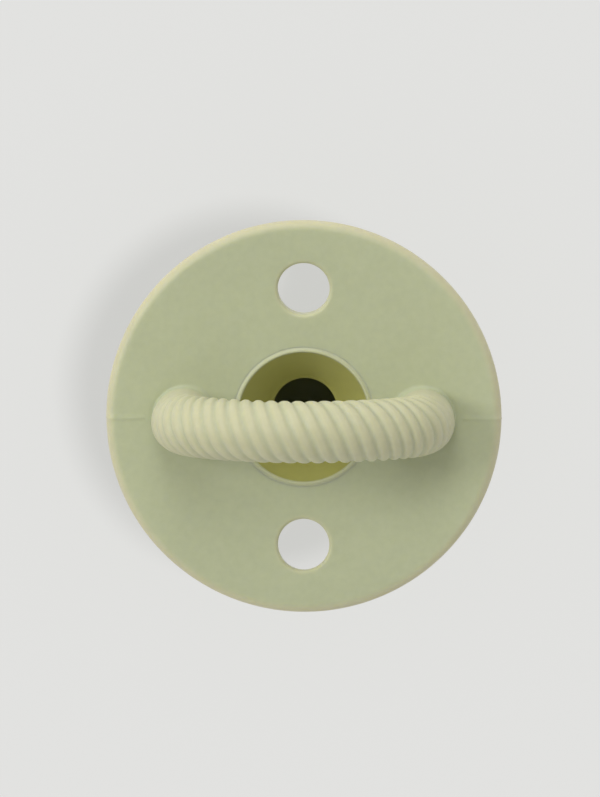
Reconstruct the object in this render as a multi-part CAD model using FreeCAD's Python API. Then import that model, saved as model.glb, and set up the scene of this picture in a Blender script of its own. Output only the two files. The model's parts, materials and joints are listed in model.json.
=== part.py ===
"""One-piece silicone pacifier: a round dished shield, a twisted-rope carrying handle and a round nipple.

The whole thing is one moulding. It is split here into the stretches that stay stiff and the
stretches that flex, so that the handle can tip on its two feet and the nipple can bend at its neck.

Millimetres. Z runs up the axis, from the nipple's tip at the origin to the crown of the handle.
The handle spans X. The two vent holes lie on Y. The mould halves parted on the plane Y = 0.
"""

import FreeCAD, Part
import math
import os

# Shield: a shallow dish, hollow on the handle's side, with a full-round rim.
SHIELD_DIAMETER = 46.0
SHIELD_THICKNESS = 2.0
DISH_RADIUS = 170.0
VENT_DIAMETER = 6.0
VENT_OFFSET = 15.0

# The mould's parting line, which stands a little proud of the shield.
PARTING_WIDTH = 0.3
PARTING_HEIGHT = 0.12

# Nipple, from the tip up to the front of the shield.
NIPPLE_LENGTH = 28.5
BULB_DIAMETER = 15.0
BULB_WALL = 1.1
NECK_DIAMETER = 10.5
NECK_BORE = 7.6
NECK_BOTTOM = 15.0
NECK_TOP = 22.0
BULB_SHOULDER_RADIUS = 4.0
BULB_SHOULDER_RADIUS_INSIDE = 5.1

# Collar: the funnel that joins the shield to the neck, with a raised lip round its mouth.
COLLAR_RADIUS = 8.6
MOUTH_DIAMETER = 15.3
LIP_WIDTH = 0.4
LIP_HEIGHT = 0.2
FUNNEL_DEPTH = 6.0

# Handle: a rope of raised strands over a squarish arch, on two plain feet.
ROPE_DIAMETER = 7.0
STRANDS = 5
STRAND_LEAD = 7.65
GROOVE_DEPTH = 0.2
GROOVE_SHARPNESS = 1.3
PLAIN_END = 0.2
FADE_LENGTH = 3.5
ARCH_HALF_SPAN = 13.95
ARCH_RISE = 12.4
FOOT_HEIGHT = 4.2
HAUNCH_RADIUS = 5.5

# How finely the rope's skin is laid out.
POINTS_PER_STRAND = 7
ROPE_SECTIONS = 72

Vector = FreeCAD.Vector
UP = Vector(0, 0, 1)
CENTRE = Vector(0, 0, 0)

SHIELD_RADIUS = SHIELD_DIAMETER / 2
ROPE_RADIUS = ROPE_DIAMETER / 2
MOUTH_RADIUS = MOUTH_DIAMETER / 2
NECK_RADIUS = NECK_DIAMETER / 2
BORE_RADIUS = NECK_BORE / 2
BULB_RADIUS = BULB_DIAMETER / 2
DISH_CENTRE = NIPPLE_LENGTH + DISH_RADIUS
FOOT_TOP = NIPPLE_LENGTH + FOOT_HEIGHT

# The arch's centre line: a flat crown between two tight haunches, met where both slope alike.
CROWN_RISE = ARCH_RISE - FOOT_HEIGHT
CROWN_RADIUS = (ARCH_HALF_SPAN**2 + CROWN_RISE**2 - 2 * ARCH_HALF_SPAN * HAUNCH_RADIUS) / (
    2 * (CROWN_RISE - HAUNCH_RADIUS)
)
CROWN_CENTRE = Vector(0, 0, FOOT_TOP + CROWN_RISE - CROWN_RADIUS)
HAUNCH_CENTRE = Vector(ARCH_HALF_SPAN - HAUNCH_RADIUS, 0, FOOT_TOP)
CROWN_ANGLE = math.atan2(HAUNCH_CENTRE.x, HAUNCH_CENTRE.z - CROWN_CENTRE.z)
HALF_CROWN = CROWN_RADIUS * CROWN_ANGLE
HALF_LENGTH = HALF_CROWN + HAUNCH_RADIUS * (math.pi / 2 - CROWN_ANGLE)


def dish_height(radius, depth=0.0):
    """Height of the dish at this distance from the axis, on the face that lies depth below the front."""
    return DISH_CENTRE - math.sqrt((DISH_RADIUS + depth) ** 2 - radius**2)


def at(radius, height):
    """A point of a turned outline."""
    return Vector(radius, 0, height)


def line(start, end):
    return Part.makeLine(start, end)


def arc(start, through, end):
    return Part.Arc(start, through, end).toShape()


def on_circle(centre, radius, angle):
    """The point of a circle in the XZ plane at this angle from +X, in degrees."""
    turn = math.radians(angle)
    return centre + Vector(radius * math.cos(turn), 0, radius * math.sin(turn))


def turned(edges):
    """The solid made by turning a closed outline about the axis."""
    face = Part.Face(Part.Wire(edges))
    return face.revolve(CENTRE, UP, 360)


def shield_blank(inner_radius, proud):
    """The dish with its full-round rim, grown by proud all round, and open inside inner_radius."""
    half = SHIELD_THICKNESS / 2
    rim_radius = half + proud
    rim_centre = at(SHIELD_RADIUS - half, dish_height(SHIELD_RADIUS - half, half))
    slope = math.asin((SHIELD_RADIUS - half) / (DISH_RADIUS + half))
    lean = math.degrees(slope)
    front_end = on_circle(rim_centre, rim_radius, 90 + lean)
    rim_end = on_circle(rim_centre, rim_radius, lean)
    back_end = on_circle(rim_centre, rim_radius, lean - 90)
    front_inner = at(inner_radius, dish_height(inner_radius, -proud))
    back_inner = at(inner_radius, dish_height(inner_radius, SHIELD_THICKNESS + proud))
    middle = (inner_radius + SHIELD_RADIUS) / 2
    front_middle = at(middle, dish_height(middle, -proud))
    back_middle = at(middle, dish_height(middle, SHIELD_THICKNESS + proud))
    return turned(
        [
            arc(front_inner, front_middle, front_end),
            arc(front_end, rim_end, back_end),
            arc(back_end, back_middle, back_inner),
            line(back_inner, front_inner),
        ]
    )


def vent(side):
    """The cutter for one vent, square to the dish. side is +1 or -1 along Y."""
    hub = Vector(0, side * VENT_OFFSET, dish_height(VENT_OFFSET))
    towards_dish_centre = (Vector(0, 0, DISH_CENTRE) - hub).normalize()
    start = hub - towards_dish_centre * (2 * SHIELD_THICKNESS)
    return Part.makeCylinder(VENT_DIAMETER / 2, 3 * SHIELD_THICKNESS, start, towards_dish_centre)


def shield():
    body = shield_blank(COLLAR_RADIUS, 0.0)
    grown = shield_blank(COLLAR_RADIUS, PARTING_HEIGHT)
    ridge_start = ARCH_HALF_SPAN + ROPE_RADIUS
    length = SHIELD_RADIUS
    for side in (-1, 1):
        middle = side * (ridge_start + length / 2)
        corner = Vector(middle - length / 2, -PARTING_WIDTH / 2, NIPPLE_LENGTH - SHIELD_THICKNESS / 2)
        slab = Part.makeBox(length, PARTING_WIDTH, 2 * SHIELD_THICKNESS, corner)
        body = body.fuse(grown.common(slab))
        body = body.cut(vent(side))
    return body


def nipple_collar():
    """The raised lip, the funnel inside it and the cone behind the shield, down to the neck."""
    seat = at(COLLAR_RADIUS, dish_height(COLLAR_RADIUS))
    lip_outer = at(MOUTH_RADIUS + LIP_WIDTH, dish_height(MOUTH_RADIUS + LIP_WIDTH))
    lip_top = at(MOUTH_RADIUS + LIP_WIDTH / 2, lip_outer.z + LIP_HEIGHT)
    lip_inner = at(MOUTH_RADIUS, lip_outer.z)
    funnel_foot = at(BORE_RADIUS, NIPPLE_LENGTH - FUNNEL_DEPTH)
    bore_end = at(BORE_RADIUS, NECK_TOP)
    neck_end = at(NECK_RADIUS, NECK_TOP)
    neck_start = at(NECK_RADIUS, NECK_TOP + 0.5)
    back = at(COLLAR_RADIUS, dish_height(COLLAR_RADIUS, SHIELD_THICKNESS))
    swell = (neck_start + back) * 0.5 + Vector(-0.35, 0, 0.35)
    return turned(
        [
            line(seat, lip_outer),
            arc(lip_outer, lip_top, lip_inner),
            line(lip_inner, funnel_foot),
            line(funnel_foot, bore_end),
            line(bore_end, neck_end),
            line(neck_end, neck_start),
            arc(neck_start, swell, back),
            line(back, seat),
        ]
    )


def nipple_neck():
    length = NECK_TOP - NECK_BOTTOM
    outside = Part.makeCylinder(NECK_RADIUS, length, Vector(0, 0, NECK_BOTTOM), UP)
    inside = Part.makeCylinder(BORE_RADIUS, length, Vector(0, 0, NECK_BOTTOM), UP)
    return outside.cut(inside)


def bulb_outline(ball_radius, neck_radius, shoulder_radius):
    """A ball that runs up into the neck through a hollow shoulder: its edges, from the axis to the top."""
    ball_centre = at(0, BULB_RADIUS)
    reach = neck_radius + shoulder_radius
    gap = ball_radius + shoulder_radius
    shoulder_centre = at(reach, BULB_RADIUS + math.sqrt(gap**2 - reach**2))
    tilt = math.degrees(math.asin((shoulder_centre.z - BULB_RADIUS) / gap))
    tip = at(0, BULB_RADIUS - ball_radius)
    join = on_circle(ball_centre, ball_radius, tilt)
    ball = arc(tip, on_circle(ball_centre, ball_radius, (tilt - 90) / 2), join)
    shoulder_end = on_circle(shoulder_centre, shoulder_radius, 180)
    halfway = on_circle(shoulder_centre, shoulder_radius, 180 + tilt / 2)
    top = at(neck_radius, NECK_BOTTOM)
    return [ball, arc(join, halfway, shoulder_end), line(shoulder_end, top)], tip, top


def nipple_bulb():
    outside, tip, top = bulb_outline(BULB_RADIUS, NECK_RADIUS, BULB_SHOULDER_RADIUS)
    inside, hollow_tip, hollow_top = bulb_outline(
        BULB_RADIUS - BULB_WALL, BORE_RADIUS, BULB_SHOULDER_RADIUS_INSIDE
    )
    wall = [line(tip, hollow_tip)] + inside + [line(hollow_top, top)] + outside
    return turned(Part.__sortEdges__(wall))


def arch(distance):
    """Point on the rope's centre line and its outward direction, this far to the right of the crown."""
    from_crown = abs(distance)
    if from_crown < HALF_CROWN:
        centre, radius = CROWN_CENTRE, CROWN_RADIUS
        lean = from_crown / CROWN_RADIUS
    else:
        centre, radius = HAUNCH_CENTRE, HAUNCH_RADIUS
        lean = CROWN_ANGLE + (from_crown - HALF_CROWN) / HAUNCH_RADIUS
    outward = Vector(math.sin(lean), 0, math.cos(lean))
    point = centre + outward * radius
    if distance < 0:
        point.x = -point.x
        outward.x = -outward.x
    return point, outward


def strand_relief(distance, angle):
    """How far the rope's skin is cut in, at this angle counted round the twisting strands."""
    from_end = HALF_LENGTH - abs(distance)
    fade = min(1.0, max(0.0, (from_end - PLAIN_END) / FADE_LENGTH))
    fade = fade * fade * (3 - 2 * fade)
    wave = (1 + math.cos(STRANDS * angle)) / 2
    return GROOVE_DEPTH * fade * wave**GROOVE_SHARPNESS


def rope_skin():
    """The rope's surface points: one ring per section, each ring turned on by the strands' twist."""
    around = STRANDS * POINTS_PER_STRAND
    rings = []
    for section in range(ROPE_SECTIONS + 1):
        distance = HALF_LENGTH * (2 * section / ROPE_SECTIONS - 1)
        point, outward = arch(distance)
        sideways = Vector(0, -1, 0)
        twist = 2 * math.pi * distance / STRAND_LEAD
        ring = []
        for step in range(around + 1):
            strand_angle = 2 * math.pi * (step % around) / around
            radius = ROPE_RADIUS - strand_relief(distance, strand_angle)
            turn = strand_angle + twist
            ring.append(point + outward * (radius * math.cos(turn)) + sideways * (radius * math.sin(turn)))
        rings.append(ring)
    return rings


def handle_rope():
    skin = Part.BSplineSurface()
    skin.interpolate(rope_skin())
    side = skin.toShape()
    caps = []
    for border in (skin.uIso(0.0), skin.uIso(skin.bounds()[1])):
        caps.append(Part.Face(Part.Wire(border.toShape())))
    shell = Part.makeShell([side] + caps)
    shell.sewShape()
    solid = Part.makeSolid(shell)
    if solid.Volume < 0:
        solid.reverse()
    return solid


def handle_foot(side):
    """One plain foot, which stands on the dish and carries an end of the rope."""
    bottom = dish_height(ARCH_HALF_SPAN) - SHIELD_THICKNESS / 2
    post = Part.makeCylinder(ROPE_RADIUS, FOOT_TOP - bottom, Vector(side * ARCH_HALF_SPAN, 0, bottom), UP)
    above_dish = Part.makeSphere(DISH_RADIUS, Vector(0, 0, DISH_CENTRE))
    return post.common(above_dish)


def main():
    os.makedirs("parts", exist_ok=True)
    pieces = {
        "shield": shield(),
        "nipple_collar": nipple_collar(),
        "nipple_neck": nipple_neck(),
        "nipple_bulb": nipple_bulb(),
        "handle_rope": handle_rope(),
        "handle_foot_left": handle_foot(-1),
        "handle_foot_right": handle_foot(1),
    }
    for name, piece in pieces.items():
        solid = piece.Solids[0]
        print(name, "solids", len(piece.Solids), "valid", solid.isValid(), "mm3", round(solid.Volume, 1))
        solid.exportStep("parts/" + name + ".step")


main()
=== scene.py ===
# %% [markdown]
# # A one-piece silicone pacifier
# This lesson builds the looks of a soft pacifier round its CAD model: a round dished shield, an arched
# handle like a twisted rope, and a hollow nipple. On the real object all of it is one shot of liquid
# silicone, cured in a hot mould. So the aim is one smooth skin with no joins in it, a true small
# fillet wherever two shapes meet, and one material that lets a little light in at its thin edges.
#
# The CAD model comes first and is never changed here. It gives every size and place.

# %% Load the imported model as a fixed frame
import json
import math

import bmesh
import bpy
from mathutils import Matrix, Vector


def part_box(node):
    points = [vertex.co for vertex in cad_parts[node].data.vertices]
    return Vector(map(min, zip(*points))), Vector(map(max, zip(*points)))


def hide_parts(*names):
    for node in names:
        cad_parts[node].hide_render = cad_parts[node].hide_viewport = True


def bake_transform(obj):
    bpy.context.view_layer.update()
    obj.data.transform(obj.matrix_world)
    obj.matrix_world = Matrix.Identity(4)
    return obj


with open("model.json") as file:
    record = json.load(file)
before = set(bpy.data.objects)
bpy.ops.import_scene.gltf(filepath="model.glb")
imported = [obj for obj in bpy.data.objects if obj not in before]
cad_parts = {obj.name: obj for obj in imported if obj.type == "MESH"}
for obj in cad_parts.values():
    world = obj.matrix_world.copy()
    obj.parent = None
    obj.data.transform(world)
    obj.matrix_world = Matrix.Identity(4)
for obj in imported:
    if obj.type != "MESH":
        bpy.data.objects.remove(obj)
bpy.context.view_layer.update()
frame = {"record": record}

# %% [markdown]
# ## Sizes
# Everything below is written in millimetres, because that is how a mould maker thinks, and one
# factor turns it to Blender's metres. The main sizes are read off the CAD nodes. The few that no box
# can tell, such as how deep the shield is dished, are the design's own and are named here.

# %% Sizes read from the CAD nodes, in millimetres
MM = 0.001


def node_box(name):
    """Lowest and highest corner of a CAD node, in millimetres."""
    low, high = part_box(name)
    return Vector(low) / MM, Vector(high) / MM


def mount(name):
    return next(m for m in frame["record"]["mounts"] if m["name"] == name)


shield_high = node_box("shield")[1]
foot_low, foot_high = node_box("handle_foot_right")
rope_high = node_box("handle_rope")[1]
neck_low, neck_high = node_box("nipple_neck")
bulb_high = node_box("nipple_bulb")[1]

SHIELD_RADIUS = shield_high.y
SHIELD_THICKNESS = mount("vent_upper")["dims"]["length_mm"]
VENT_RADIUS = mount("vent_upper")["dims"]["r_mm"]
ROPE_RADIUS = (foot_high.y - foot_low.y) / 2
ARCH_HALF_SPAN = (foot_low.x + foot_high.x) / 2
FOOT_TOP = foot_high.z
CROWN = rope_high.z - ROPE_RADIUS
NECK_RADIUS = neck_high.x
BULB_RADIUS = bulb_high.x

DISH_RADIUS = 170.0
VENT_OFFSET = 15.0
FRONT = 28.5
DISH_CENTRE = FRONT + DISH_RADIUS
BORE_RADIUS = 3.8
MOUTH_RADIUS = 7.65
BULB_WALL = 1.1
print("shield", round(SHIELD_RADIUS, 2), "rope", round(ROPE_RADIUS, 2), "span", round(ARCH_HALF_SPAN, 2))
print("neck", round(NECK_RADIUS, 2), "bulb", round(BULB_RADIUS, 2), "crown", round(CROWN, 2))

# %% [markdown]
# ## The camera
# The pacifier lies nipple down on the floor and is looked at almost straight down its axis. The
# camera leans a few degrees towards the upper vent, which is why the crown of the handle seems to
# sag below the middle of the shield while the dark bore seems to sit above it. A long lens keeps the
# shield round.

# %% Camera
LEAN_UP = math.radians(7.0)
LEAN_RIGHT = math.radians(1.4)
CAMERA_DISTANCE = 320.0
VIEW_HEIGHT = 92.7
LENS_SHIFT = 0.03
aim = Vector((-0.43, 2.2 + LENS_SHIFT * VIEW_HEIGHT, FRONT))
towards_camera = Vector((math.tan(LEAN_RIGHT), math.tan(LEAN_UP), 1)).normalized()


def look_from(location, target, up):
    """The rotation of a camera or lamp at location that faces target, with up towards the top."""
    back = (location - target).normalized()
    right = up.cross(back).normalized()
    top = back.cross(right)
    return Matrix((right, top, back)).transposed().to_euler()


camera_data = bpy.data.cameras.new("camera")
camera = bpy.data.objects.new("camera", camera_data)
bpy.context.collection.objects.link(camera)
camera.location = (aim + towards_camera * CAMERA_DISTANCE) * MM
camera.rotation_euler = look_from(camera.location, aim * MM, Vector((0, 1, 0)))
camera_data.sensor_width = 36
camera_data.lens = camera_data.sensor_width * CAMERA_DISTANCE / VIEW_HEIGHT
camera_data.shift_y = -LENS_SHIFT
camera_data.clip_start = 0.01
camera_data.clip_end = 20
bpy.context.scene.camera = camera
print("lens", round(camera_data.lens, 1), "mm")

# %% [markdown]
# ## Ways to lay a skin
# A moulded thing is all skin. Each piece here is made of rings of points: a ring is a closed row of
# vertices, and two rings of the same count are joined by a band of four-sided faces. Faces laid in
# rings shade smoothly and follow the true curves, which a boolean cut would not.

# %% Rings and bands
def add_ring(skin, points):
    """A closed row of new vertices at these points, given in millimetres."""
    return [skin.verts.new(point * MM) for point in points]


def add_band(skin, ring_a, ring_b):
    """The faces between two rings of the same count."""
    count = len(ring_a)
    for i in range(count):
        j = (i + 1) % count
        skin.faces.new((ring_a[i], ring_a[j], ring_b[j], ring_b[i]))


def mark_corner(skin, ring):
    """Keeps the shading from smoothing over a ring where two faces meet at a corner."""
    for i, vertex in enumerate(ring):
        edge = skin.edges.get((vertex, ring[(i + 1) % len(ring)]))
        edge.smooth = False


def finish_skin(skin, name, painted_light_and_shade):
    """Turns the skin into a smooth-shaded object. The function given last says how much painted light or
    painted shade goes into its colour at each point.
    """
    bmesh.ops.recalc_face_normals(skin, faces=skin.faces)
    mesh = bpy.data.meshes.new(name)
    skin.to_mesh(mesh)
    skin.free()
    painted_values = [painted_light_and_shade(vertex.co / MM) for vertex in mesh.vertices]
    mesh.attributes.new("painted_light_and_shade", "FLOAT", "POINT").data.foreach_set("value", painted_values)
    mesh.polygons.foreach_set("use_smooth", [True] * len(mesh.polygons))
    piece = bpy.data.objects.new(name, mesh)
    bpy.context.collection.objects.link(piece)
    print(name, len(mesh.vertices), "vertices")
    return piece


# %% [markdown]
# ## The shield and the handle
# The shield is a shallow dish, part of a very large ball, 2 mm thick, with a full-round rim. It is laid
# out as a wheel of rings and spokes. Round each vent and each foot a block of the wheel is left out,
# and the gap is filled with rings that change from the block's outline to a circle. At a vent the
# rings then roll over the edge and go down through the plate. At a foot they roll up a fillet and
# into the handle. So the shield and the handle come out as one closed skin, as they do in the mould.
#
# The mould opens in a plane through the handle, and its halves leave a thin raised line across the
# plate. That line is in the skin too: the spokes are drawn in close beside it, and the one that runs
# along it is lifted a twentieth of a millimetre. A ridge laid on top as a strip of its own would
# take the light differently from the plate.

# %% The wheel of rings and spokes
SPOKES = 240
BLOCK_CELLS = 20
LIP_FOOT = 8.2
COLLAR_FOOT = 9.6
FOOT_BLOCK_INNER = 9.2
FOOT_BLOCK_OUTER = 18.5
RIM_CELLS = 8
LINE_SPOKES = {1: 0.22, 2: 1.1, 3: 2.5}
PARTING_HEIGHT = 0.05
RIM_INSET = 0.005
BLOCK_STEP = (FOOT_BLOCK_OUTER - FOOT_BLOCK_INNER) / BLOCK_CELLS
RIM_LEAN = SHIELD_THICKNESS / 2 * SHIELD_RADIUS / DISH_RADIUS
RIM_START = SHIELD_RADIUS - SHIELD_THICKNESS / 2 - RIM_LEAN - RIM_INSET
RIM_STEP = (RIM_START - FOOT_BLOCK_OUTER) / RIM_CELLS


def dish_point(x, y, depth=0.0):
    """The point of the shield over (x, y), sunk by depth square to its front face."""
    front = Vector((x, y, DISH_CENTRE - math.sqrt(DISH_RADIUS**2 - x * x - y * y)))
    towards_centre = (Vector((0, 0, DISH_CENTRE)) - front).normalized()
    return front - towards_centre * depth


def spoke_angle(spoke):
    """Even spokes, but drawn in close on both sides of the parting line."""
    half_turn = SPOKES // 2
    beside = (spoke + half_turn // 2) % half_turn - half_turn // 2
    drawn_in = LINE_SPOKES.get(abs(beside), abs(beside)) * (1 if beside > 0 else -1)
    return 2 * math.pi * (spoke - beside + drawn_in) / SPOKES


def wheel_point(radius, spoke, depth):
    angle = spoke_angle(spoke)
    return dish_point(radius * math.cos(angle), radius * math.sin(angle), depth)


def line_height(radius, spoke):
    """How far the parting line stands out of the skin here."""
    on_line = spoke % (SPOKES // 2) == 0 and radius >= FOOT_BLOCK_OUTER
    return PARTING_HEIGHT if on_line else 0.0


class Block:
    """A part of the wheel that is left out for a round thing at angle, between two rings."""

    def __init__(self, centre_spoke, half_spokes, first_ring, last_ring):
        self.centre_spoke = centre_spoke
        self.half_spokes = half_spokes
        self.first_ring = first_ring
        self.last_ring = last_ring
        self.count = 4 * half_spokes + 2 * (last_ring - first_ring)

    def holds(self, ring, spoke):
        """True if the cell between this ring and spoke and the next ones is left out."""
        beside = (spoke - self.centre_spoke + self.half_spokes) % SPOKES
        return self.first_ring <= ring < self.last_ring and beside < 2 * self.half_spokes

    def outline(self):
        """(ring, spoke) all round the block, anticlockwise, from the outer clockwise corner."""
        low, high = self.centre_spoke - self.half_spokes, self.centre_spoke + self.half_spokes
        outer = [(self.last_ring, spoke) for spoke in range(low, high)]
        inwards = [(ring, high) for ring in range(self.last_ring, self.first_ring, -1)]
        inner = [(self.first_ring, spoke) for spoke in range(high, low, -1)]
        outwards = [(ring, low) for ring in range(self.first_ring, self.last_ring)]
        return [(ring, spoke % SPOKES) for ring, spoke in outer + inwards + inner + outwards]

    def angle(self, index):
        """Where the outline's point goes on a circle. The outer edge's middle goes straight out."""
        return spoke_angle(self.centre_spoke) + 2 * math.pi * (index - self.half_spokes) / self.count


def lay_wheel(skin, radii, depth, blocks):
    """The wheel's faces at one depth, with the blocks left out. Returns the vertices by (ring, spoke)."""
    vertices = {}

    def vertex(ring, spoke):
        key = (ring, spoke % SPOKES)
        if key not in vertices:
            raised = line_height(radii[ring], spoke) * (1 if depth == 0 else -1)
            vertices[key] = skin.verts.new(wheel_point(radii[ring], spoke, depth - raised) * MM)
        return vertices[key]

    for ring in range(len(radii) - 1):
        for spoke in range(SPOKES):
            if not any(block.holds(ring, spoke) for block in blocks):
                corners = [(ring, spoke), (ring + 1, spoke), (ring + 1, spoke + 1), (ring, spoke + 1)]
                skin.faces.new([vertex(*corner) for corner in corners])
    return vertices


def whole_ring(vertices, ring):
    return [vertices[(ring, spoke)] for spoke in range(SPOKES)]


def circle_on_dish(centre, radius, block, depth):
    """Points of a circle round centre (x, y) on the dish, in step with the block's outline."""
    points = []
    for index in range(block.count):
        angle = block.angle(index)
        x, y = centre.x + radius * math.cos(angle), centre.y + radius * math.sin(angle)
        points.append(dish_point(x, y, depth))
    return points


def fill_block(skin, vertices, block, centre, radius, depth, steps=6):
    """Rings from a block's outline in to a circle. Returns the circle's vertices."""
    outline = [vertices[key] for key in block.outline()]
    circle = circle_on_dish(centre, radius, block, depth)
    previous = outline
    for step in range(1, steps + 1):
        share = step / steps
        points = []
        for start, end in zip(outline, circle):
            flat = (start.co / MM).lerp(end, share)
            points.append(dish_point(flat.x, flat.y, depth))
        ring = add_ring(skin, points)
        add_band(skin, previous, ring)
        previous = ring
    return previous


front_radii = [LIP_FOOT, (LIP_FOOT + FOOT_BLOCK_INNER) / 2]
front_radii += [FOOT_BLOCK_INNER + BLOCK_STEP * step for step in range(BLOCK_CELLS)]
front_radii += [FOOT_BLOCK_OUTER + RIM_STEP * step for step in range(RIM_CELLS + 1)]
SKIPPED = 4
back_radii = [COLLAR_FOOT] + front_radii[SKIPPED:]
print("rings in front", len(front_radii), "and behind", len(back_radii))

# %% [markdown]
# ## The rope handle
# The handle is a carrying loop made to look like rope: five strands laid round an arch. It could be five
# real tubes wound together, but a moulded rope has no gaps between its strands, only shallow
# grooves. So it is one tube whose radius dips at each groove. The strands wind up tighter towards the
# feet, and fade out where the rope turns down into them. The tube's rings stay square to the arch
# and lie a tenth of a millimetre apart, close enough for the slanting grooves to come out clean.

# %% The arch and its strands
STRANDS = 5
STRAND_LEAD = 7.65
WIND_UP = 0.25
STRAND_PHASE = -2.5
GROOVE_DEPTH = 0.24
GROOVE_SHARPNESS = 1.9
PLAIN_END = 0.5
FADE_LENGTH = 4.0
HAUNCH_RADIUS = 5.5
FOOT_FILLET = 0.5
SECTION_STEP = 0.1
SIDEWAYS = Vector((0, -1, 0))

crown_rise = CROWN - FOOT_TOP
crown_radius = (ARCH_HALF_SPAN**2 + crown_rise**2 - 2 * ARCH_HALF_SPAN * HAUNCH_RADIUS) / (
    2 * (crown_rise - HAUNCH_RADIUS)
)
crown_centre = Vector((0, 0, CROWN - crown_radius))
haunch_centre = Vector((ARCH_HALF_SPAN - HAUNCH_RADIUS, 0, FOOT_TOP))
crown_angle = math.atan2(haunch_centre.x, haunch_centre.z - crown_centre.z)
half_crown = crown_radius * crown_angle
half_rope = half_crown + HAUNCH_RADIUS * (math.pi / 2 - crown_angle)
half_handle = half_rope + FOOT_TOP - dish_point(ARCH_HALF_SPAN, 0).z - FOOT_FILLET


def arch(distance):
    """Point on the handle's centre line and its outward direction, this far to the right of the crown."""
    from_crown = abs(distance)
    if from_crown < half_crown:
        centre, radius, lean = crown_centre, crown_radius, from_crown / crown_radius
    else:
        bend = min(from_crown, half_rope) - half_crown
        centre, radius, lean = haunch_centre, HAUNCH_RADIUS, crown_angle + bend / HAUNCH_RADIUS
    outward = Vector((math.sin(lean), 0, math.cos(lean)))
    point = centre + outward * radius
    point.z -= max(0.0, from_crown - half_rope)
    if distance < 0:
        point.x, outward.x = -point.x, -outward.x
    return point, outward


def wind(distance):
    """How far the strands have turned here, counted from the crown. They wind tighter towards the feet."""
    share = distance / half_rope
    return 2 * math.pi * half_rope * (share + WIND_UP * share**5) / STRAND_LEAD


def smooth_step(value):
    value = min(1.0, max(0.0, value))
    return value * value * (3 - 2 * value)


def strand_relief(distance, strand_angle):
    """How far the skin is cut in at this place of the rope."""
    from_foot = half_rope - abs(distance)
    fade = smooth_step((from_foot - PLAIN_END) / FADE_LENGTH)
    wave = (1 + math.cos(STRANDS * strand_angle + STRAND_PHASE)) / 2
    return GROOVE_DEPTH * fade * wave**GROOVE_SHARPNESS


def rope_ring(distance, count, first_angle):
    point, outward = arch(distance)
    points = []
    for index in range(count):
        turn = first_angle + 2 * math.pi * index / count
        radius = ROPE_RADIUS - strand_relief(distance, turn - wind(distance))
        points.append(point + outward * (radius * math.cos(turn)) + SIDEWAYS * (radius * math.sin(turn)))
    return points


print("handle", round(2 * half_handle, 2), "mm along, crown radius", round(crown_radius, 2))

# %% [markdown]
# ## Painted light and shade
# Tinted silicone looks light where light gets in and out of it easily, and deep where it doesn't.
# Here that light and shade is painted into the colour: the thin rim, the vents' edges and the
# free-standing rope get painted light and are lighter than the plate, the rope's grooves get painted
# shade and are a little deeper than its strands, and the inside of the nipple gets the deepest
# painted shade. Each point of the skin stores one number for this, from 0 for the lightest painted
# edge to 1 for the inside, and the material turns it into colour. A number per point follows the
# shape exactly, which a pattern laid over it couldn't.

# %% The painted light and shade at each point of the shield and the handle
# Where each painted light and shade sits: 0 is the painted-light colour, the plate's own colour is in the
# middle, 1 is the painted-shade colour.
PLATE_TONE = 0.5
EDGE_TONE = 0.0
EDGE_WIDTH = 1.3
FOOT_GLOW = 2.2
VENT_PAINTED_LIGHT = 0.5
ROPE_PAINTED_LIGHT = 0.66
GROOVE_SHADE = 0.3


def nearness(distance, width):
    """1 on an edge, falling smoothly to 0 at this distance from it."""
    return 1 - smooth_step(distance / width)


def rope_cut(point):
    """How far a point of the rope's skin lies below the rope's full radius."""
    across, height = abs(point.x), point.z - crown_centre.z
    if math.atan2(across, height) < crown_angle:
        beside = math.hypot(across, height) - crown_radius
    elif point.z > haunch_centre.z:
        beside = math.hypot(across - haunch_centre.x, point.z - haunch_centre.z) - HAUNCH_RADIUS
    else:
        beside = across - ARCH_HALF_SPAN
    return ROPE_RADIUS - math.hypot(beside, point.y)


def shield_painted_light_and_shade(point):
    """The plate keeps its own tone. The rim and the vents' edges get painted light, the rope gets painted
    light, and the rope's grooves get painted shade.
    """
    across = math.hypot(point.x, point.y)
    # Painted light on the rim and round the vents, where the silicone is thin.
    rim = nearness(SHIELD_RADIUS - across, EDGE_WIDTH)
    to_vent = math.hypot(point.x, abs(point.y) - VENT_OFFSET) - VENT_RADIUS
    vent_painted_light = VENT_PAINTED_LIGHT * nearness(max(0.0, to_vent), EDGE_WIDTH / 2)
    # Painted light on the rope, growing with its height over the plate.
    height = point.z - dish_point(point.x, point.y).z
    handle = ROPE_PAINTED_LIGHT * smooth_step(height / FOOT_GLOW)
    # Painted shade in the rope's grooves, deepest at their bottoms.
    if height > FOOT_GLOW:
        handle -= GROOVE_SHADE * smooth_step(rope_cut(point) / GROOVE_DEPTH)
    return PLATE_TONE + (EDGE_TONE - PLATE_TONE) * max(rim, vent_painted_light, handle)


# %% Mould the shield and the handle as one skin
VENT_EDGE = 0.4
ROUNDING_STEPS = 6
RIM_STEPS = 14

skin = bmesh.new()
wide = SPOKES // 4
vent_block_half = 10
foot_block_half = 14
vents = {
    +1: Block(wide, vent_block_half, SKIPPED, SKIPPED + BLOCK_CELLS),
    -1: Block(3 * wide, vent_block_half, SKIPPED, SKIPPED + BLOCK_CELLS),
}
feet = {
    +1: Block(0, foot_block_half, 2, 2 + BLOCK_CELLS),
    -1: Block(2 * wide, foot_block_half, 2, 2 + BLOCK_CELLS),
}
back_vents = {
    side: Block(block.centre_spoke, vent_block_half, 1, 1 + BLOCK_CELLS) for side, block in vents.items()
}
front = lay_wheel(skin, front_radii, 0.0, list(vents.values()) + list(feet.values()))
back = lay_wheel(skin, back_radii, SHIELD_THICKNESS, list(back_vents.values()))

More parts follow.
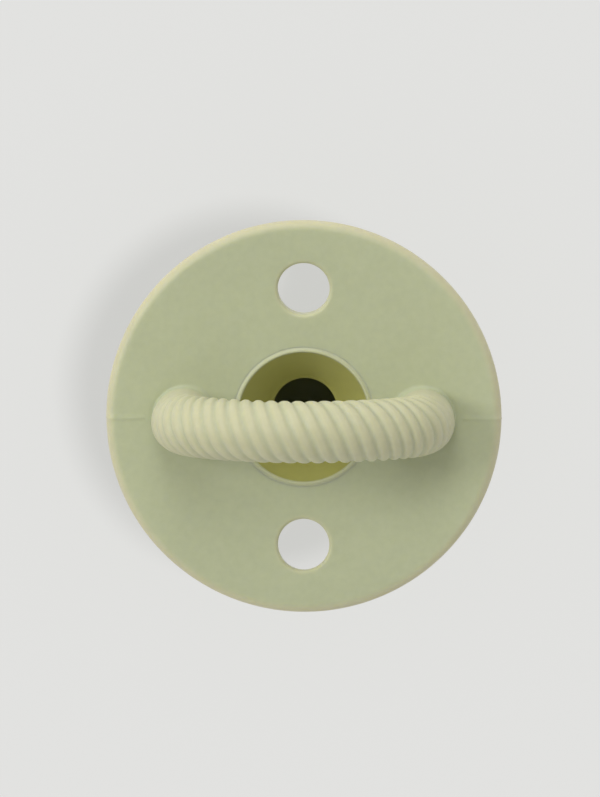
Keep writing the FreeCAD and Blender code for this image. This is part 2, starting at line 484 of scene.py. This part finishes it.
# The rim: half a turn from the front face to the back face.
half = SHIELD_THICKNESS / 2
previous = whole_ring(front, len(front_radii) - 1)
for step in range(1, RIM_STEPS):
    angle = math.pi * step / RIM_STEPS
    ring = []
    for spoke in range(SPOKES):
        reach = half + line_height(RIM_START, spoke)
        radius, depth = RIM_START + reach * math.sin(angle), half - reach * math.cos(angle)
        ring.append(wheel_point(radius, spoke, depth))
    ring = add_ring(skin, ring)
    add_band(skin, previous, ring)
    previous = ring
add_band(skin, previous, whole_ring(back, len(back_radii) - 1))

# The vents: over a rounded edge, down the wall and out over the edge behind.
for side, block in vents.items():
    centre = Vector((0, side * VENT_OFFSET))
    previous = fill_block(skin, front, block, centre, VENT_RADIUS + VENT_EDGE, 0.0)
    profile = []
    for step in range(1, ROUNDING_STEPS + 1):
        angle = math.pi / 2 * step / ROUNDING_STEPS
        profile.append((VENT_RADIUS + VENT_EDGE * (1 - math.sin(angle)), VENT_EDGE * (1 - math.cos(angle))))
    profile += [(radius, SHIELD_THICKNESS - depth) for radius, depth in reversed(profile)]
    for radius, depth in profile:
        ring = add_ring(skin, circle_on_dish(centre, radius, block, depth))
        add_band(skin, previous, ring)
        previous = ring
    far_ring = fill_block(skin, back, back_vents[side], centre, VENT_RADIUS + VENT_EDGE, SHIELD_THICKNESS)
    add_band(skin, previous, far_ring)

# The feet: up a hollow fillet. Each ends in a ring of vertices for the rope to start from.
foot_rings = {}
for side, block in feet.items():
    centre = Vector((side * ARCH_HALF_SPAN, 0))
    previous = fill_block(skin, front, block, centre, ROPE_RADIUS + FOOT_FILLET, 0.0)
    level = dish_point(ARCH_HALF_SPAN, 0).z
    for step in range(1, ROUNDING_STEPS + 1):
        angle = math.pi / 2 * step / ROUNDING_STEPS
        radius = ROPE_RADIUS + FOOT_FILLET * (1 - math.sin(angle))
        rise = FOOT_FILLET * (1 - math.cos(angle))
        settle = step / ROUNDING_STEPS
        points = []
        for point in circle_on_dish(centre, radius, block, 0.0):
            point.z = point.z * (1 - settle) + level * settle + rise
            points.append(point)
        ring = add_ring(skin, points)
        add_band(skin, previous, ring)
        previous = ring
    foot_rings[side] = previous

# The rope: from the left foot over the arch to the right foot.
count = feet[-1].count
first_angle = -2 * math.pi * foot_block_half / count
sections = round(2 * half_handle / SECTION_STEP)
previous = foot_rings[-1]
for section in range(1, sections):
    ring = add_ring(skin, rope_ring(half_handle * (2 * section / sections - 1), count, first_angle))
    add_band(skin, previous, ring)
    previous = ring
landing = [foot_rings[+1][(2 * foot_block_half - index) % count] for index in range(count)]
add_band(skin, previous, landing)

# The wall inside, where the shield meets the collar's own skin.
hidden_edge_front, hidden_edge_back = whole_ring(front, 0), whole_ring(back, 0)
add_band(skin, hidden_edge_front, hidden_edge_back)
mark_corner(skin, hidden_edge_front)
mark_corner(skin, hidden_edge_back)
shield = finish_skin(skin, "shield_and_rope_handle", shield_painted_light_and_shade)

# %% [markdown]
# ## The nipple
# Collar, neck and bulb are turned shapes, so each is an outline spun about the axis. The outline runs
# down the inside and comes back up the outside, so the wall has its true thickness and the bore is
# open: look down past the handle and there is only the dark inside of the nipple. The neck bends at
# two places, so the nipple is two skins that meet halfway down the neck, where nothing bends.

# %% Turn an outline
COLLAR_FLARE = 0.68
# Painted light on the mouth's lip.
LIP_PAINTED_LIGHT = 0.38


def arc_points(centre, radius, start, end, steps):
    """(radius, height) points round an arc, from start to end in degrees."""
    points = []
    for step in range(steps + 1):
        angle = math.radians(start + (end - start) * step / steps)
        points.append((centre[0] + radius * math.cos(angle), centre[1] + radius * math.sin(angle)))
    return points


def curve_points(handles, steps):
    """Points along a cubic curve with these four handles."""
    points = []
    for step in range(steps + 1):
        t = step / steps
        weights = ((1 - t) ** 3, 3 * t * (1 - t) ** 2, 3 * t * t * (1 - t), t**3)
        points.append(tuple(sum(w * h[axis] for w, h in zip(weights, handles)) for axis in (0, 1)))
    return points


def straight_points(start, end, steps):
    return [tuple(a + (b - a) * step / steps for a, b in zip(start, end)) for step in range(steps + 1)]


def nipple_painted_light_and_shade(point):
    """Painted light on the lip, the plate's own tone outside, and painted shade in the funnel and the bore.
    """
    across = math.hypot(point.x, point.y)
    if point.z > lip_foot[1] - 0.1:
        return LIP_PAINTED_LIGHT
    wall_middle = (NECK_RADIUS + BORE_RADIUS) / 2 + COLLAR_FLARE * max(0.0, point.z - neck_high.z)
    # Painted shade on the funnel and down the bore.
    inside = point.z > neck_low.z and across < wall_middle
    return 1.0 if inside else PLATE_TONE


def spin(name, outline, corners=(), closed=True):
    """The skin of an outline turned about the axis. A point on the axis becomes a pole."""
    skin = bmesh.new()
    tidy = [outline[0]]
    for point in outline[1:]:
        if math.dist(point, tidy[-1]) > 1e-4:
            tidy.append(point)
    rings = []
    for radius, height in tidy:
        if radius < 1e-6:
            rings.append([skin.verts.new(Vector((0, 0, height)) * MM)])
        else:
            turns = [spoke_angle(spoke) for spoke in range(SPOKES)]
            ring = [Vector((radius * math.cos(turn), radius * math.sin(turn), height)) for turn in turns]
            rings.append(add_ring(skin, ring))
    pairs = list(zip(rings, rings[1:]))
    if closed:
        pairs.append((rings[-1], rings[0]))
    for a, b in pairs:
        if len(a) == 1 or len(b) == 1:
            pole, ring = (a[0], b) if len(a) == 1 else (b[0], a)
            for i in range(SPOKES):
                skin.faces.new((pole, ring[i], ring[(i + 1) % SPOKES]))
        else:
            add_band(skin, a, b)
    for corner in corners:
        nearest = min(range(len(tidy)), key=lambda i: math.dist(tidy[i], corner))
        mark_corner(skin, rings[nearest])
    return finish_skin(skin, name, nipple_painted_light_and_shade)


# %% The collar and the upper half of the neck
LIP_WIDTH = 0.28
LIP_HEIGHT = 0.14
FUNNEL_DEPTH = 5.9
BORE_EDGE = 0.35
OVERLAP = 0.6
SKIN_GAP = 0.15
neck_middle = (neck_low.z + neck_high.z) / 2
lip_foot = (LIP_FOOT, dish_point(LIP_FOOT, 0).z)
behind = dish_point(COLLAR_FOOT, 0, SHIELD_THICKNESS)
collar_foot = (behind.x, behind.z)
lip_centre = MOUTH_RADIUS + LIP_WIDTH / 2
lip_outside = curve_points(
    [lip_foot, (lip_foot[0] - 0.15, lip_foot[1]), (lip_centre + 0.2, lip_foot[1] + LIP_HEIGHT),
     (lip_centre, lip_foot[1] + LIP_HEIGHT)], 8
)
lip_inside = curve_points(
    [(lip_centre, lip_foot[1] + LIP_HEIGHT), (MOUTH_RADIUS, lip_foot[1] + LIP_HEIGHT),
     (MOUTH_RADIUS, lip_foot[1]), (MOUTH_RADIUS - 0.2, lip_foot[1] - 0.45)], 8
)
funnel_floor = FRONT - FUNNEL_DEPTH
funnel = curve_points(
    [lip_inside[-1], (MOUTH_RADIUS - 1.05, lip_foot[1] - 2.0), (BORE_RADIUS + 1.35, funnel_floor + 1.6),
     (BORE_RADIUS + BORE_EDGE, funnel_floor + 0.1)], 16
)
bore_edge = curve_points(
    [funnel[-1], (BORE_RADIUS + 0.1, funnel_floor - 0.1), (BORE_RADIUS, funnel_floor - 0.2),
     (BORE_RADIUS, funnel_floor - 0.6)], 5
)
bore = straight_points(bore_edge[-1], (BORE_RADIUS, neck_middle), 12)
neck_outside = straight_points((NECK_RADIUS, neck_middle), (NECK_RADIUS, neck_high.z), 10)
collar_cone = curve_points(
    [neck_outside[-1], (NECK_RADIUS + 0.1, neck_high.z + 1.6), (NECK_RADIUS + 2.3, collar_foot[1] - 0.7),
     collar_foot], 14
)
tongue = [dish_point(COLLAR_FOOT + OVERLAP, 0, depth) for depth in (SHIELD_THICKNESS - SKIN_GAP, SKIN_GAP)]
collar_outline = lip_outside + lip_inside + funnel + bore_edge + bore + neck_outside + collar_cone
collar_outline += [(point.x, point.z) for point in tongue]
collar = spin("nipple_collar_and_upper_neck", collar_outline,
              corners=[lip_foot, bore[-1], neck_outside[0], collar_foot])

# %% The lower half of the neck and the bulb
SHOULDER = 4.0
SHOULDER_INSIDE = 5.1


def bulb_side(ball_radius, neck_radius, shoulder):
    """From the tip up over the ball and the hollow shoulder to the middle of the neck."""
    reach, gap = neck_radius + shoulder, ball_radius + shoulder
    shoulder_height = BULB_RADIUS + math.sqrt(gap**2 - reach**2)
    tilt = math.degrees(math.asin((shoulder_height - BULB_RADIUS) / gap))
    ball = arc_points((0, BULB_RADIUS), ball_radius, -90, tilt, 40)
    ball[0] = (0, BULB_RADIUS - ball_radius)
    hollow = arc_points((reach, shoulder_height), shoulder, 180 + tilt, 180, 8)
    return ball + hollow + straight_points((neck_radius, shoulder_height), (neck_radius, neck_middle), 8)


bulb_outside = bulb_side(BULB_RADIUS, NECK_RADIUS, SHOULDER)
bulb_inside = bulb_side(BULB_RADIUS - BULB_WALL, BORE_RADIUS, SHOULDER_INSIDE)
bulb = spin("nipple_bulb_and_lower_neck", bulb_outside + bulb_inside[::-1],
            corners=[bulb_outside[-1], bulb_inside[-1]], closed=False)

# %% [markdown]
# ## The material: moulded silicone
# The real stuff is platinum-cured liquid silicone, tinted right through with a grey sage-green pigment.
# It comes out of a mould with a fine spark-eroded texture, so it is satin and not shiny, and it lets
# light in a millimetre or two, which softens the shading and makes thin edges look a shade lighter
# and warmer. The lighter edges and rope and the deeper grooves and nipple inside are also painted
# into its colour, as painted light and painted shade. One function builds it, so that the thick
# shield and rope and the thin-walled nipple differ only in roughness.

# %% Colours and nodes
def linear(hex_colour):
    """An sRGB hex colour as the linear values that a shader needs."""
    channels = [int(hex_colour[i:i + 2], 16) / 255 for i in (1, 3, 5)]
    return tuple(c / 12.92 if c <= 0.04045 else ((c + 0.055) / 1.055) ** 2.4 for c in channels) + (1.0,)


def find_socket(sockets, name):
    """A socket by its number, its identifier or its label."""
    if isinstance(name, int):
        return sockets[name]
    return next((s for s in sockets if s.identifier == name), None) or sockets.get(name)


def add_node(tree, kind, settings, links):
    """Adds a node. settings are its properties and its sockets' values. links are socket: output."""
    node = tree.nodes.new(kind)
    for name, value in settings.items():
        if isinstance(name, str) and hasattr(node, name):
            setattr(node, name, value)
        else:
            find_socket(node.inputs, name).default_value = value
    for name, output in links.items():
        tree.links.new(output, find_socket(node.inputs, name))
    return node


# %% Liquid silicone, moulded and satin
# Painted light: the lighter colour of the rim, the vents' edges, the lip and the rope. PLATE is the
# silicone's own colour.
PAINTED_LIGHT_COLOUR = "#C6C1A0"
PLATE = "#B5BA98"
# Painted shade: the deep olive of the funnel and the bore.
PAINTED_SHADE_COLOUR = "#A8A65D"
GRAIN_SIZE = 0.16
FLECK_SIZE = 0.9
GRAIN_HEIGHT = 0.03
CLOUD_SIZE = 7.0
MOTTLE = 0.035


def moulded_silicone(name, roughness):
    """Sage-green liquid silicone rubber from a spark-eroded mould, with painted light and painted shade
    mixed into its colour.
    """
    material = bpy.data.materials.new(name)
    material.use_nodes = True
    tree = material.node_tree
    tree.nodes.clear()
    place = add_node(tree, "ShaderNodeTexCoord", {}, {}).outputs["Object"]

    def noise(size, detail):
        settings = {"Scale": 1 / (size * MM), "Detail": detail}
        return add_node(tree, "ShaderNodeTexNoise", settings, {"Vector": place})

    cloud, fleck, grain = noise(CLOUD_SIZE, 3.0), noise(FLECK_SIZE, 2.0), noise(GRAIN_SIZE, 2.0)
    # The stored number picks the colour: painted light at 0, the plate's own colour in the middle, painted
    # shade at 1.
    tone = add_node(tree, "ShaderNodeAttribute", {"attribute_name": "painted_light_and_shade"}, {}).outputs["Fac"]
    to_plate = add_node(tree, "ShaderNodeMapRange",
                        {"From Min": 0.0, "From Max": PLATE_TONE}, {"Value": tone})
    to_painted_shade = add_node(tree, "ShaderNodeMapRange",
                       {"From Min": PLATE_TONE, "From Max": 1.0}, {"Value": tone})
    outside = add_node(tree, "ShaderNodeMix",
                       {"data_type": "RGBA", "A_Color": linear(PAINTED_LIGHT_COLOUR), "B_Color": linear(PLATE)},
                       {"Factor_Float": to_plate.outputs["Result"]})
    outside_colour = find_socket(outside.outputs, "Result_Color")
    colour = add_node(tree, "ShaderNodeMix", {"data_type": "RGBA", "B_Color": linear(PAINTED_SHADE_COLOUR)},
                      {"Factor_Float": to_painted_shade.outputs["Result"], "A_Color": outside_colour})
    mottle = add_node(tree, "ShaderNodeMath", {"operation": "MULTIPLY_ADD", 1: 0.7},
                      {0: cloud.outputs["Fac"], 2: fleck.outputs["Fac"]})
    value = add_node(tree, "ShaderNodeMapRange",
                     {"From Min": 0.55, "From Max": 1.15, "To Min": 1 - MOTTLE, "To Max": 1 + MOTTLE},
                     {"Value": mottle.outputs[0]})
    plain_colour = find_socket(colour.outputs, "Result_Color")
    mottled = add_node(tree, "ShaderNodeHueSaturation", {},
                       {"Color": plain_colour, "Value": value.outputs["Result"]})
    satin = add_node(tree, "ShaderNodeMapRange", {"To Min": roughness - 0.05, "To Max": roughness + 0.07},
                     {"Value": fleck.outputs["Fac"]})
    bump = add_node(tree, "ShaderNodeBump", {"Strength": 0.12, "Distance": GRAIN_HEIGHT * MM},
                    {"Height": grain.outputs["Fac"]})
    surface = add_node(tree, "ShaderNodeBsdfPrincipled", {
        "IOR": 1.41,
        "Subsurface Weight": 0.55,
        "Subsurface Scale": 0.6 * MM,
        "Subsurface Radius": (1.0, 0.9, 0.42),
        "Sheen Weight": 0.08,
        "Sheen Roughness": 0.5,
    }, {
        "Base Color": mottled.outputs["Color"],
        "Roughness": satin.outputs["Result"],
        "Normal": bump.outputs["Normal"],
    })
    add_node(tree, "ShaderNodeOutputMaterial", {}, {"Surface": surface.outputs["BSDF"]})
    return material


thick_silicone = moulded_silicone("sage_silicone_moulded", 0.46)
thin_silicone = moulded_silicone("sage_silicone_thin_wall", 0.42)
shield.data.materials.append(thick_silicone)
collar.data.materials.append(thin_silicone)
bulb.data.materials.append(thin_silicone)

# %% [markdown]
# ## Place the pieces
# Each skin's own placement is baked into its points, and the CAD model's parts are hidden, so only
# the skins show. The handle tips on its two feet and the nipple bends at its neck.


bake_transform(shield)
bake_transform(collar)
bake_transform(bulb)
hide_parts("shield", "handle_rope", "handle_foot_left", "handle_foot_right")
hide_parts("nipple_collar", "nipple_neck")
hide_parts("nipple_bulb")
pacifier_pieces = [shield, collar, bulb]

# %% [markdown]
# ## The floor and the light
# A plain pale floor under a background of the same tone, so that no horizon shows. The light is soft
# studio light. Most of it comes evenly from the pale room. A large lamp from the left throws the
# handle's shadow to the right, and one high above throws a softer one below the handle. A lamp that
# grazes the plate from above lights the top of each strand, and a faint one from below keeps the
# undersides from going dull. The floor has a lamp of its own. In the real world one lamp would do
# both jobs, but its power would tie the shadow's depth to the shine of the silicone. The floor's
# lamp is a sun lamp, because only a lamp that is very far off lights near and far floor alike.

# %% Stage
PALE = "#E3E3E1"
FLOOR_SIDE = 8.0
FLOOR_GREY = 0.3
FLOOR_GLOW = 0.605


def pale_floor():
    mesh = bpy.data.meshes.new("pale_floor")
    half = FLOOR_SIDE / 2
    corners = [(-half, -half, 0), (half, -half, 0), (half, half, 0), (-half, half, 0)]
    mesh.from_pydata(corners, [], [(0, 1, 2, 3)])
    floor = bpy.data.objects.new("pale_floor", mesh)
    bpy.context.collection.objects.link(floor)
    material = bpy.data.materials.new("pale_paper")
    material.use_nodes = True
    tree = material.node_tree
    tree.nodes.clear()
    paper = add_node(tree, "ShaderNodeBsdfDiffuse", {"Color": (FLOOR_GREY, FLOOR_GREY, FLOOR_GREY, 1)}, {})
    glow = add_node(tree, "ShaderNodeEmission", {"Color": linear(PALE), "Strength": FLOOR_GLOW}, {})
    both = add_node(tree, "ShaderNodeAddShader", {}, {0: paper.outputs["BSDF"], 1: glow.outputs["Emission"]})
    add_node(tree, "ShaderNodeOutputMaterial", {}, {"Surface": both.outputs["Shader"]})
    mesh.materials.append(material)
    return floor


floor = pale_floor()

lit_pieces = bpy.data.collections.new("lit_by_the_soft_lamps")
lit_floor = bpy.data.collections.new("lit_by_the_floor_lamp")
for piece in pacifier_pieces:
    lit_pieces.objects.link(piece)
lit_floor.objects.link(floor)


def soft_lamp(name, direction, distance, size, power, receivers):
    """A round area lamp, in millimetres, that shines on the shield from this direction."""
    data = bpy.data.lights.new(name, "AREA")
    data.shape = "DISK"
    data.size = size * MM
    data.energy = power
    lamp = bpy.data.objects.new(name, data)
    bpy.context.collection.objects.link(lamp)
    target = Vector((0, 0, FRONT))
    place = target + Vector(direction).normalized() * distance
    lamp.location = place * MM
    lamp.rotation_euler = look_from(place, target, Vector((0, 1, 0.1)))
    lamp.light_linking.receiver_collection = receivers
    return lamp


def far_lamp(name, direction, spread, strength, receivers):
    """A lamp so far off that it lights the whole floor evenly. spread, in degrees, softens its shadows."""
    data = bpy.data.lights.new(name, "SUN")
    data.angle = math.radians(spread)
    data.energy = strength
    lamp = bpy.data.objects.new(name, data)
    bpy.context.collection.objects.link(lamp)
    lamp.rotation_euler = look_from(Vector(direction), Vector((0, 0, 0)), Vector((0, 1, 0.1)))
    lamp.light_linking.receiver_collection = receivers
    return lamp


soft_lamp("key_from_the_left", (-1.0, 0.38, 1.0), 500, 180, 0.86, lit_pieces)
soft_lamp("soft_from_above", (-0.1, 1.0, 0.4), 400, 260, 0.42, lit_pieces)
soft_lamp("high_from_above", (-0.1, 1.0, 1.3), 500, 220, 0.36, lit_pieces)
soft_lamp("weak_fill_from_below", (0.0, -1.0, 0.5), 500, 400, 0.1, lit_pieces)
far_lamp("floor_lamp", (0.25, 0.03, 1.0), 10, 1.36, lit_floor)

# %% World and colour
ROOM_LIGHT = 0.74
world = bpy.data.worlds.new("pale_room")
bpy.context.scene.world = world
world.use_nodes = True
tree = world.node_tree
tree.nodes.clear()
seen = add_node(tree, "ShaderNodeLightPath", {}, {}).outputs["Is Camera Ray"]
strength = add_node(tree, "ShaderNodeMapRange", {"To Min": ROOM_LIGHT, "To Max": 1.0}, {"Value": seen})
room = add_node(tree, "ShaderNodeBackground",
                {"Color": linear(PALE)}, {"Strength": strength.outputs["Result"]})
add_node(tree, "ShaderNodeOutputWorld", {}, {"Surface": room.outputs["Background"]})
bpy.context.scene.view_settings.view_transform = "Standard"
bpy.context.scene.view_settings.look = "None"
